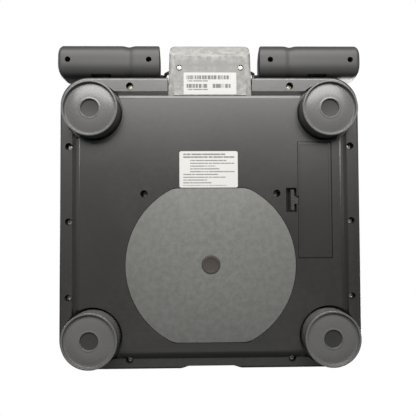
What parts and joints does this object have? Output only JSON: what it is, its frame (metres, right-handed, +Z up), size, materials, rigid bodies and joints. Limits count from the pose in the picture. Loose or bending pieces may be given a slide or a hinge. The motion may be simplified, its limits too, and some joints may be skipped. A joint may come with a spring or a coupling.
{
  "type": "bathroom scale",
  "caption": "Body-composition bathroom scale with round load-cell feet, lift-off hand grips, a display housing, a cord reel and a battery door underneath.",
  "frame": {"origin": "middle of the whole object's footprint, on the floor under the four feet", "axes": "+Z up through the standing surface, +Y away from the person standing on it towards the display and grips, +X to the right"},
  "size_m": [0.3236, 0.3434, 0.0549],
  "materials": {
    "shell_charcoal": "fine-grained moulded ABS, charcoal, slightly satin",
    "cover_dark": "dark moulded ABS, fine grain",
    "galvanised_steel": "galvanised sheet",
    "cover_disc_grey": "smooth matt mid-grey plastic",
    "plug_brown": "dark brown-grey plastic",
    "inner_plastic": "black moulded plastic",
    "circuit_board": "green solder mask",
    "housing_grey": "satin mid-grey plastic",
    "lens_smoked": "smoked clear acrylic window",
    "lcd_glass": "grey-green liquid-crystal panel",
    "nickel_contact": "nickel-plated spring steel",
    "latch_grey": "matt grey plastic",
    "screw_zinc": "zinc-plated",
    "screw_dark": "blackened steel",
    "label_white": "printed white film label",
    "electrode_steel": "brushed stainless steel",
    "cord_black": "soft black PVC",
    "spring_steel": "blued spring strip",
    "grip_grey": "fine-grained moulded plastic, warm grey",
    "foot_rubber": "grey elastomer",
    "foot_plastic": "grey moulded plastic",
    "load_cell_steel": "ground spring steel",
    "battery_wrap": "plain dark sleeve",
    "button_grey": "satin grey plastic"
  },
  "bodies": {
    "scale_body": {"bottom_shell": "shell_charcoal", "top_cover": "cover_dark", "platform_plate": "galvanised_steel", "load_cell_brackets": "galvanised_steel", "reel_cover": "cover_disc_grey", "reel_plug": "plug_brown", "reel_spindle": "inner_plastic", "main_board": "circuit_board", "display_housing_bottom": "housing_grey", "display_housing_top": "cover_dark", "display_lens": "lens_smoked", "lcd_panel": "lcd_glass", "display_board": "circuit_board", "battery_contacts": "nickel_contact", "casing_screws": "screw_zinc", "labels": "label_white", "toe_electrode_left": "electrode_steel", "heel_electrode_left": "electrode_steel", "reel_spring_left": "spring_steel", "toe_electrode_right": "electrode_steel", "heel_electrode_right": "electrode_steel", "reel_spring_right": "spring_steel", "load_cell_left_rear": "load_cell_steel", "load_cell_right_rear": "load_cell_steel", "load_cell_left_front": "load_cell_steel", "load_cell_right_front": "load_cell_steel", "battery_1": "battery_wrap", "battery_2": "battery_wrap", "battery_3": "battery_wrap", "battery_4": "battery_wrap"},
    "foot_left_rear": {"foot_pad_left_rear": "foot_rubber", "foot_cup_left_rear": "foot_plastic"},
    "foot_right_rear": {"foot_pad_right_rear": "foot_rubber", "foot_cup_right_rear": "foot_plastic"},
    "foot_left_front": {"foot_pad_left_front": "foot_rubber", "foot_cup_left_front": "foot_plastic"},
    "foot_right_front": {"foot_pad_right_front": "foot_rubber", "foot_cup_right_front": "foot_plastic"},
    "battery_door": {"battery_door": "shell_charcoal"},
    "battery_door_latch": {"battery_door_latch": "latch_grey"},
    "button_user": {"button_user": "button_grey"},
    "button_down": {"button_down": "button_grey"},
    "button_up": {"button_up": "button_grey"},
    "button_guest": {"button_guest": "button_grey"},
    "grip_left": {"grip_left_upper_shell": "grip_grey", "grip_left_lower_shell": "grip_grey", "grip_left_screws": "screw_dark", "grip_left_finger_electrode": "electrode_steel", "grip_left_thumb_electrode": "electrode_steel", "grip_left_cord_lead": "cord_black"},
    "reel_drum_left": {"reel_drum_left": "inner_plastic", "reel_cord_left": "cord_black"},
    "grip_right": {"grip_right_upper_shell": "grip_grey", "grip_right_lower_shell": "grip_grey", "grip_right_screws": "screw_dark", "grip_right_finger_electrode": "electrode_steel", "grip_right_thumb_electrode": "electrode_steel", "grip_right_cord_lead": "cord_black"},
    "reel_drum_right": {"reel_drum_right": "inner_plastic", "reel_cord_right": "cord_black"}
  },
  "joints": [
    {"name": "foot_left_rear_press", "type": "slide", "parent": "scale_body", "child": "foot_left_rear", "axis": [0, 0, 1], "range_m": [0, 0.0004], "stiffness_N_per_m": 20000},
    {"name": "foot_right_rear_press", "type": "slide", "parent": "scale_body", "child": "foot_right_rear", "axis": [0, 0, 1], "range_m": [0, 0.0004], "stiffness_N_per_m": 20000},
    {"name": "foot_left_front_press", "type": "slide", "parent": "scale_body", "child": "foot_left_front", "axis": [0, 0, 1], "range_m": [0, 0.0004], "stiffness_N_per_m": 20000},
    {"name": "foot_right_front_press", "type": "slide", "parent": "scale_body", "child": "foot_right_front", "axis": [0, 0, 1], "range_m": [0, 0.0004], "stiffness_N_per_m": 20000},
    {"name": "battery_door_open", "type": "hinge", "parent": "scale_body", "child": "battery_door", "pos_m": [-0.1251, 0.00325, 0.0139], "axis": [0, 1, 0], "range_deg": [0, 95]},
    {"name": "battery_door_latch_slide", "type": "slide", "parent": "battery_door", "child": "battery_door_latch", "axis": [-1, 0, 0], "range_m": [0, 0.0015], "stiffness_N_per_m": 300},
    {"name": "button_user_press", "type": "slide", "parent": "scale_body", "child": "button_user", "axis": [0, 0.1384, -0.9904], "range_m": [0, 0.0005], "stiffness_N_per_m": 600},
    {"name": "button_down_press", "type": "slide", "parent": "scale_body", "child": "button_down", "axis": [0, 0.1384, -0.9904], "range_m": [0, 0.0005], "stiffness_N_per_m": 600},
    {"name": "button_up_press", "type": "slide", "parent": "scale_body", "child": "button_up", "axis": [0, 0.1384, -0.9904], "range_m": [0, 0.0005], "stiffness_N_per_m": 600},
    {"name": "button_guest_press", "type": "slide", "parent": "scale_body", "child": "button_guest", "axis": [0, 0.1384, -0.9904], "range_m": [0, 0.0005], "stiffness_N_per_m": 600},
    {"name": "grip_left_lift", "type": "slide", "parent": "scale_body", "child": "grip_left", "axis": [0, 0, 1], "range_m": [0, 0.06], "deforming": ["grip_left_cord_lead"]},
    {"name": "grip_right_lift", "type": "slide", "parent": "scale_body", "child": "grip_right", "axis": [0, 0, 1], "range_m": [0, 0.06], "deforming": ["grip_right_cord_lead"]},
    {"name": "reel_drum_left_turn", "type": "hinge", "parent": "scale_body", "child": "reel_drum_left", "pos_m": [0, -0.06355, 0.022], "axis": [0, 0, 1], "range_deg": [-72.62, 0]},
    {"name": "reel_drum_right_turn", "type": "hinge", "parent": "scale_body", "child": "reel_drum_right", "pos_m": [0, -0.06355, 0.022], "axis": [0, 0, 1], "range_deg": [0, 72.62]}
  ],
  "couplings": [
    {"joint": "reel_drum_left_turn", "follows": "grip_left_lift", "rad_per_m": -20.833},
    {"joint": "reel_drum_right_turn", "follows": "grip_right_lift", "rad_per_m": 20.833}
  ]
}
